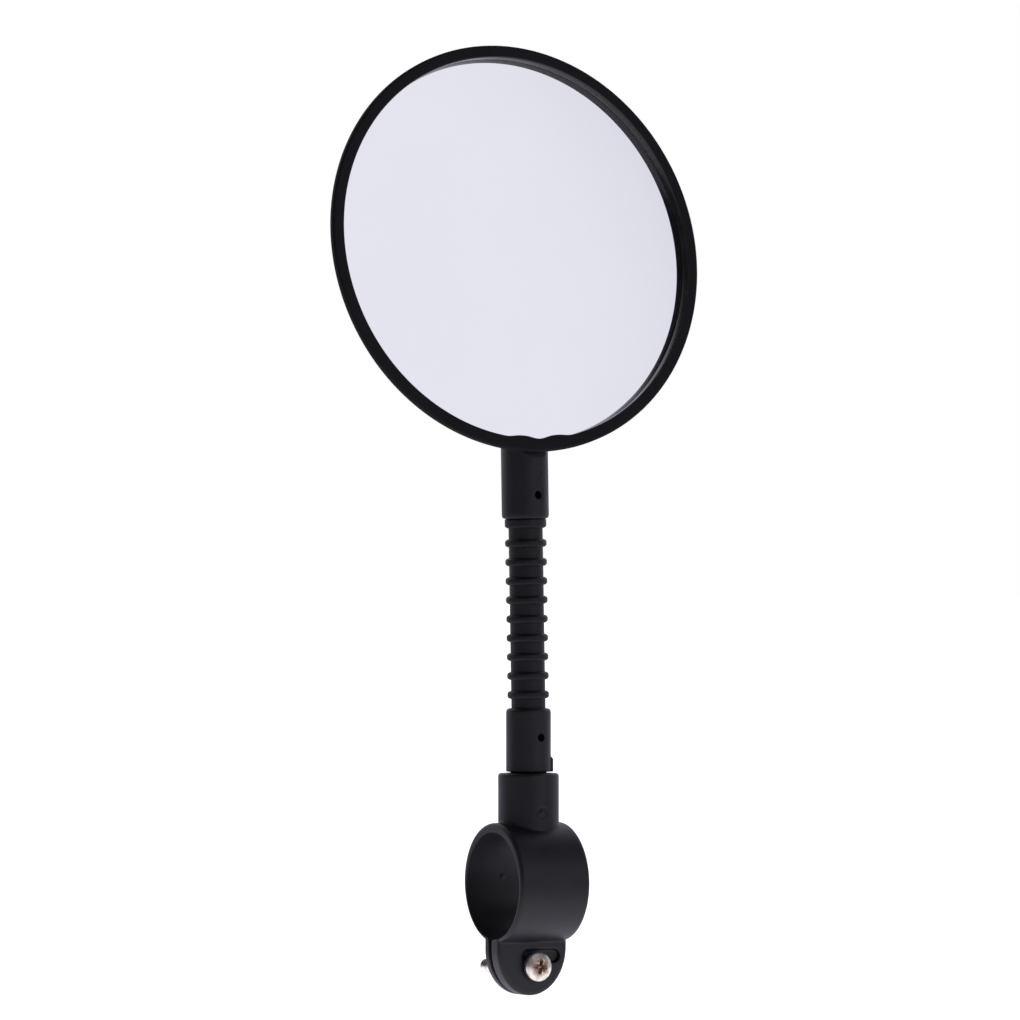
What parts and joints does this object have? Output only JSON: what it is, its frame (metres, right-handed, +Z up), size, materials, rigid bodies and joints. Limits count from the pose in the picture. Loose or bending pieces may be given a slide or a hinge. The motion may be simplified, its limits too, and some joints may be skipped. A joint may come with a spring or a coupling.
{
  "type": "bicycle handlebar mirror",
  "caption": "Round convex rear-view mirror on a ribbed flexible stem, with a swivelling collar and a split ring clamp for a bicycle handlebar.",
  "frame": {"origin": "centre of the handlebar bore, on the axis of the socket above it", "axes": "+X along the handlebar, -Y the way the mirror looks (towards the rider), +Z up the stem"},
  "size_m": [0.0868, 0.0315, 0.1985],
  "materials": {
    "black_plastic": "satin moulded nylon",
    "black_rubber": "smooth satin rubber",
    "zinc_plate": "zinc plate, slightly tarnished",
    "steel": "plain drawn wire",
    "mirror_glass": "convex silvered mirror, faint cool tint",
    "foam": "double-sided foam tape"
  },
  "bodies": {
    "clamp": {"clamp_body": "black_plastic", "clamp_nut": "zinc_plate"},
    "clamp_screw": {"clamp_screw": "zinc_plate"},
    "stem_base": {"stem_collar": "black_plastic", "swivel_screw": "zinc_plate", "swivel_washer": "zinc_plate", "collar_pin": "steel", "sleeve_segment_01": "black_rubber", "core_wire_01": "steel"},
    "stem_link_02": {"sleeve_segment_02": "black_rubber", "core_wire_02": "steel"},
    "stem_link_03": {"sleeve_segment_03": "black_rubber", "core_wire_03": "steel"},
    "stem_link_04": {"sleeve_segment_04": "black_rubber", "core_wire_04": "steel"},
    "stem_link_05": {"sleeve_segment_05": "black_rubber", "core_wire_05": "steel"},
    "stem_link_06": {"sleeve_segment_06": "black_rubber", "core_wire_06": "steel"},
    "stem_link_07": {"sleeve_segment_07": "black_rubber", "core_wire_07": "steel"},
    "stem_link_08": {"sleeve_segment_08": "black_rubber", "core_wire_08": "steel"},
    "stem_link_09": {"sleeve_segment_09": "black_rubber", "core_wire_09": "steel"},
    "mirror_head": {"back_shell": "black_plastic", "bezel_ring": "black_plastic", "mirror_lens": "mirror_glass", "foam_ring": "foam", "neck_pin": "steel", "sleeve_segment_10": "black_rubber", "core_wire_10": "steel"}
  },
  "joints": [
    {"name": "clamp_screw_turn", "type": "hinge", "parent": "clamp", "child": "clamp_screw", "pos_m": [0.0002, 0, -0.017], "axis": [0, -0.999, 0.0436], "continuous": true},
    {"name": "stem_swivel", "type": "hinge", "parent": "clamp", "child": "stem_base", "pos_m": [0, 0, 0.0195], "axis": [0, 0, 1], "continuous": true},
    {"name": "bend_fore_aft_1", "type": "hinge", "parent": "stem_base", "child": "stem_link_02", "pos_m": [-0.00009, 0, 0.04167], "axis": [0.9998, 0, 0.0185], "range_deg": [-18, 18]},
    {"name": "bend_sideways_1", "type": "hinge", "parent": "stem_link_02", "child": "stem_link_03", "pos_m": [-0.00016, 0, 0.04562], "axis": [0, 1, 0], "range_deg": [-18, 18]},
    {"name": "bend_fore_aft_2", "type": "hinge", "parent": "stem_link_03", "child": "stem_link_04", "pos_m": [-0.00023, 0, 0.04957], "axis": [0.9998, 0, 0.0185], "range_deg": [-18, 18]},
    {"name": "bend_sideways_2", "type": "hinge", "parent": "stem_link_04", "child": "stem_link_05", "pos_m": [-0.00031, 0, 0.05352], "axis": [0, 1, 0], "range_deg": [-18, 18]},
    {"name": "bend_fore_aft_3", "type": "hinge", "parent": "stem_link_05", "child": "stem_link_06", "pos_m": [-0.00038, 0, 0.05747], "axis": [0.9998, 0, 0.0185], "range_deg": [-18, 18]},
    {"name": "bend_sideways_3", "type": "hinge", "parent": "stem_link_06", "child": "stem_link_07", "pos_m": [-0.00045, 0, 0.06142], "axis": [0, 1, 0], "range_deg": [-18, 18]},
    {"name": "bend_fore_aft_4", "type": "hinge", "parent": "stem_link_07", "child": "stem_link_08", "pos_m": [-0.00053, 0, 0.06537], "axis": [0.9998, 0, 0.0185], "range_deg": [-18, 18]},
    {"name": "bend_sideways_4", "type": "hinge", "parent": "stem_link_08", "child": "stem_link_09", "pos_m": [-0.0006, 0, 0.06932], "axis": [0, 1, 0], "range_deg": [-18, 18]},
    {"name": "bend_fore_aft_5", "type": "hinge", "parent": "stem_link_09", "child": "mirror_head", "pos_m": [-0.00067, 0, 0.07327], "axis": [0.9998, 0, 0.0185], "range_deg": [-18, 18]}
  ],
  "couplings": [
    {"joint": "bend_fore_aft_2", "follows": "bend_fore_aft_1", "ratio": 1},
    {"joint": "bend_sideways_2", "follows": "bend_sideways_1", "ratio": 1},
    {"joint": "bend_fore_aft_3", "follows": "bend_fore_aft_1", "ratio": 1},
    {"joint": "bend_sideways_3", "follows": "bend_sideways_1", "ratio": 1},
    {"joint": "bend_fore_aft_4", "follows": "bend_fore_aft_1", "ratio": 1},
    {"joint": "bend_sideways_4", "follows": "bend_sideways_1", "ratio": 1},
    {"joint": "bend_fore_aft_5", "follows": "bend_fore_aft_1", "ratio": 1}
  ]
}
